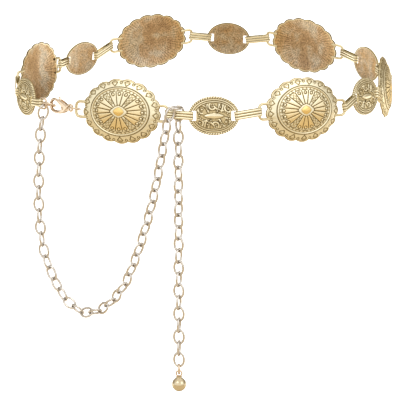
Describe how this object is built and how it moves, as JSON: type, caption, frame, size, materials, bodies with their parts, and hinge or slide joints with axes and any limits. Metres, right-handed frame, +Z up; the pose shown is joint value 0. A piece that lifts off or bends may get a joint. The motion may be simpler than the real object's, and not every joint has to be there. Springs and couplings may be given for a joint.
{
  "type": "concho chain belt",
  "caption": "Gold chain belt worn as a ring: scalloped oval conchos and small slotted ovals on ribbed straps, lobster clasp, free chain hanging in a swag and a tail with a ball drop.",
  "frame": {"origin": "middle of the waist hollow, level with the middle of the front conchos", "axes": "+Z up as worn, -Y to the front of the belt, +X to the wearer's left"},
  "size_m": [0.2421, 0.2442, 0.1937],
  "materials": {
    "antique_gold": "antique gold plate on cast zinc alloy, dark in the recesses",
    "polished_pale_gold": "polished pale gold plate on steel wire and cast clasp"
  },
  "bodies": {
    "belt": {"chain_over": "polished_pale_gold", "chain_swag_1": "polished_pale_gold", "chain_swag_2": "polished_pale_gold", "chain_swag_3": "polished_pale_gold", "chain_swag_4": "polished_pale_gold", "chain_tail_1": "polished_pale_gold", "chain_tail_2": "polished_pale_gold", "clasp_body": "polished_pale_gold", "clasp_ring": "polished_pale_gold", "drop_link": "polished_pale_gold", "end_ring": "polished_pale_gold", "end_strap": "antique_gold", "held_link": "polished_pale_gold", "large_concho_1": "antique_gold", "large_concho_2": "antique_gold", "large_concho_3": "antique_gold", "large_concho_4": "antique_gold", "large_concho_5": "antique_gold", "large_concho_6": "antique_gold", "small_concho_1": "antique_gold", "small_concho_2": "antique_gold", "small_concho_3": "antique_gold", "small_concho_4": "antique_gold", "small_concho_5": "antique_gold", "small_concho_6": "antique_gold", "strap_1": "antique_gold", "strap_10": "antique_gold", "strap_11": "antique_gold", "strap_2": "antique_gold", "strap_3": "antique_gold", "strap_4": "antique_gold", "strap_5": "antique_gold", "strap_6": "antique_gold", "strap_7": "antique_gold", "strap_8": "antique_gold", "strap_9": "antique_gold"},
    "lever": {"clasp_lever": "polished_pale_gold"},
    "drop": {"ball_drop": "polished_pale_gold"}
  },
  "joints": [
    {"name": "clasp_gate", "type": "hinge", "parent": "belt", "child": "lever", "pos_m": [-0.08528, -0.07687, -0.00336], "axis": [-0.8008, -0.5926, 0.0871], "range_deg": [0, 25], "stiffness_Nm_per_rad": 0.004},
    {"name": "ball_swing", "type": "hinge", "parent": "belt", "child": "drop", "pos_m": [-0.01695, -0.10985, -0.15838], "axis": [0, 1, 0], "range_deg": [-60, 60]}
  ]
}
